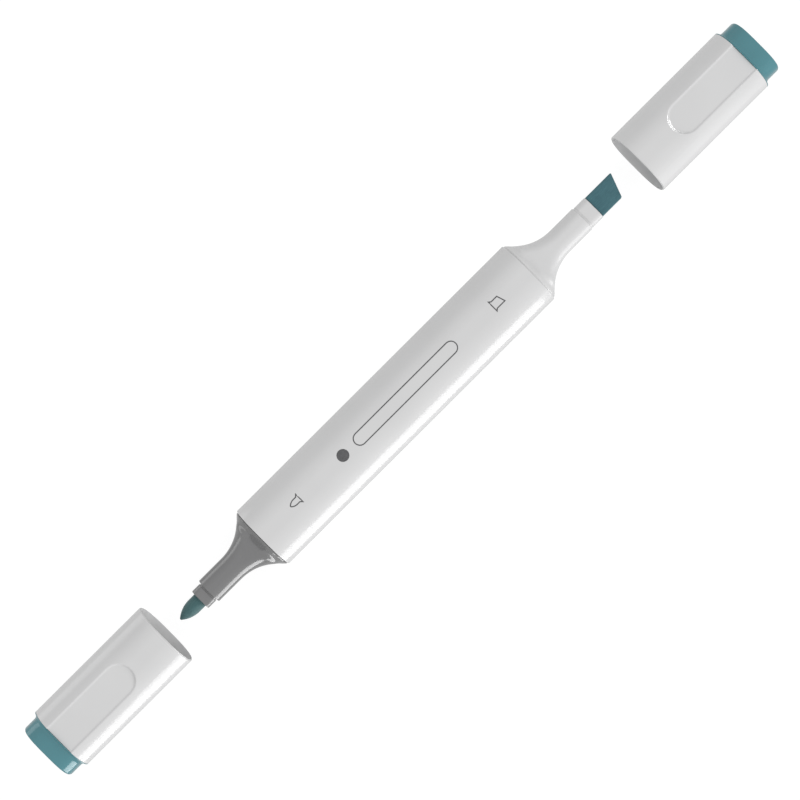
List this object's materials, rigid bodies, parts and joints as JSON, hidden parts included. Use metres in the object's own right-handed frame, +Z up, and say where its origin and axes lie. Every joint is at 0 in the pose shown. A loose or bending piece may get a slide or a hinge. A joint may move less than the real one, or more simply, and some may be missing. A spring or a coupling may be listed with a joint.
{
  "type": "twin-tip felt marker",
  "caption": "Square-barrelled felt tip marker with a bullet nib at one end, a chisel nib at the other, and a pull-off cap for each.",
  "frame": {"origin": "middle of the flat face that the barrel rests on, half way along the barrel", "axes": "+X along the marker towards the chisel nib and its cap, +Z up through the barrel's front face, +Y towards the long side of the chisel nib"},
  "size_m": [0.2108, 0.0156, 0.0156],
  "materials": {
    "white_plastic": "satin moulded plastic, white",
    "grey_plastic": "satin moulded plastic, mid grey",
    "teal_plastic": "satin moulded plastic, greyed teal",
    "liner_plastic": "natural soft plastic",
    "nib_felt": "pressed felt soaked in teal ink",
    "reservoir_fibre": "bundled polyester fibre soaked in teal ink",
    "wrap_film": "thin clear film",
    "print_ink": "dark grey pad-printed ink"
  },
  "bodies": {
    "marker": {"barrel": "white_plastic", "reservoir_core": "reservoir_fibre", "reservoir_film": "wrap_film", "chisel_nose": "white_plastic", "fine_nose": "grey_plastic", "chisel_nib": "nib_felt", "bullet_nib": "nib_felt"},
    "chisel_cap": {"chisel_cap_shell": "white_plastic", "chisel_cap_liner": "liner_plastic", "chisel_cap_plug": "teal_plastic"},
    "fine_cap": {"fine_cap_shell": "white_plastic", "fine_cap_liner": "liner_plastic", "fine_cap_plug": "teal_plastic"}
  },
  "joints": [
    {"name": "chisel_cap_slide", "type": "slide", "parent": "marker", "child": "chisel_cap", "axis": [1, 0, 0], "range_m": [-0.0317, 0]},
    {"name": "fine_cap_slide", "type": "slide", "parent": "marker", "child": "fine_cap", "axis": [-1, 0, 0], "range_m": [-0.0281, 0]}
  ]
}
